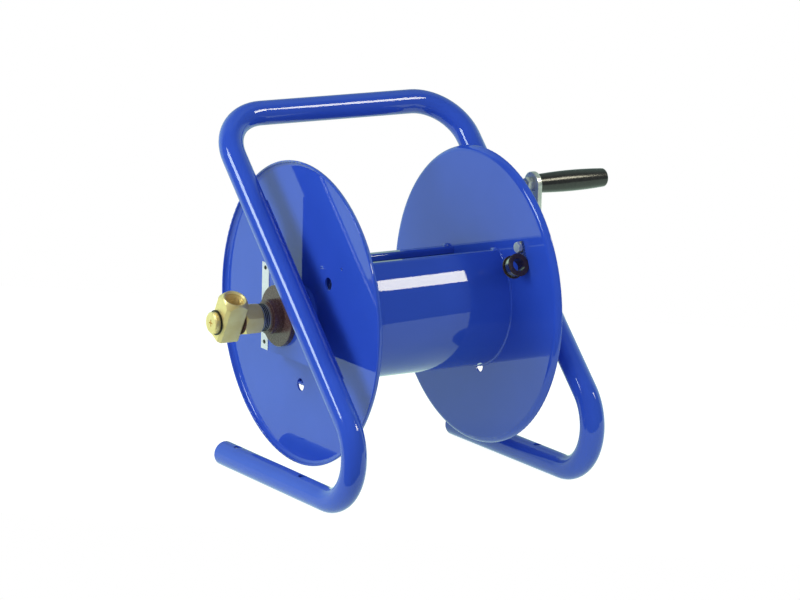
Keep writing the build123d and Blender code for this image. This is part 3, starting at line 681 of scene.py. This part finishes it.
def cut(piece, maker, operation):
    """Apply one boolean to the piece and throw the tool away."""
    tool = bpy.data.objects.new("tool", to_mesh("tool", maker))
    bpy.context.collection.objects.link(tool)
    modifier = piece.modifiers.new("cut", "BOOLEAN")
    modifier.operation = operation
    modifier.solver = "EXACT"
    modifier.object = tool
    depsgraph = bpy.context.evaluated_depsgraph_get()
    mesh = bpy.data.meshes.new_from_object(piece.evaluated_get(depsgraph))
    piece.modifiers.clear()
    piece.data = mesh
    bpy.data.objects.remove(tool)


def swivel_bar():
    """Square bar along the port, its long edges and base chamfered and every edge eased."""
    across = AXLE_LINE.cross(PORT_AXIS)
    half_x = SWIVEL_LENGTH / 2
    half_w = SWIVEL_ACROSS / 2
    flat_x = half_x - SWIVEL_CHAMFER
    flat_w = half_w - SWIVEL_CHAMFER
    outline = [
        (half_x, flat_w), (flat_x, half_w), (-flat_x, half_w), (-half_x, flat_w),
        (-half_x, -flat_w), (-flat_x, -half_w), (flat_x, -half_w), (half_x, -flat_w),
    ]
    rings = []
    for along, inset in (
        (-SWIVEL_DOWN, SWIVEL_BASE_CHAMFER),
        (-SWIVEL_DOWN + SWIVEL_BASE_CHAMFER, 0),
        (PORT_END + OVERCUT, 0),
    ):
        centre = PORT_CENTRE + PORT_AXIS * along
        share_x = (half_x - inset) / half_x
        share_w = (half_w - inset) / half_w
        rings.append([centre + AXLE_LINE * (x * share_x) + across * (w * share_w) for x, w in outline])
    bar = solid(rings)
    bmesh.ops.bevel(bar, geom=list(bar.edges), offset=SWIVEL_EDGE, segments=EDGE_SEGMENTS, affect="EDGES")
    return bar


def swivel_block():
    """Brass swivel body: chamfered square bar turned to a cone at its threaded mouth."""
    piece = bpy.data.objects.new("swivel_block", to_mesh("swivel_block", swivel_bar()))
    bpy.context.collection.objects.link(piece)
    cone_growth = (PORT_END + SWIVEL_DOWN + OVERCUT) / CONE_DROP
    cone = [(-SWIVEL_DOWN - OVERCUT, CONE_TOP_R + cone_growth), (PORT_END, CONE_TOP_R)]
    port = [
        (PORT_FLOOR, PORT_BORE_R),
        (PORT_END - PORT_MOUTH, PORT_BORE_R),
        (PORT_END + OVERCUT, PORT_BORE_R + PORT_MOUTH + OVERCUT),
    ]
    water = [(0, PORT_WATER_R), (PORT_FLOOR + OVERCUT, PORT_WATER_R)]
    bore_end = SWIVEL_LENGTH / 2 + OVERCUT
    bore = [(-bore_end, SWIVEL_BORE_R), (bore_end, SWIVEL_BORE_R)]
    cut(piece, turned(PORT_AXIS, cone, TURNED_SIDES), "INTERSECT")
    cut(piece, turned(PORT_AXIS, port, TURNED_SIDES), "DIFFERENCE")
    cut(piece, turned(PORT_AXIS, water, WATER_SIDES), "DIFFERENCE")
    cut(piece, turned(AXLE_LINE, bore, TURNED_SIDES), "DIFFERENCE")
    smooth(piece.data)
    piece.data.set_sharp_from_angle(angle=SHARP_ANGLE)
    piece.data.materials.clear()
    piece.data.materials.append(MATERIALS["brass"])
    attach(piece, "inlet")
    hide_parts("swivel_body")


disc_weld("disc_weld_left", -DISC_X)
disc_weld("disc_weld_right", DISC_X)
for side_name, side in (("left", -1), ("right", 1)):
    for place_name, offsets in PLATE_WELDS.items():
        plate_weld(f"plate_weld_{side_name}_{place_name}", side, *offsets)
swivel_block()
# the pipe's thread ridge takes the dark black-oxide steel so that its turns show as dark stripes between
# bright gaps of pipe; that dark is painted shade on the thread's flanks
thread("pipe_thread", "reel", "spring_steel", AXLE, AXLE_LINE, PIPE_THREAD, PIPE_R)
thread("port_thread", "inlet", "brass", PORT_CENTRE, PORT_AXIS, PORT_THREAD, PORT_BORE_R)
thread("outlet_thread", "reel", "brass", OUTLET_START, AXLE_LINE, OUTLET_THREAD, OUTLET_R)
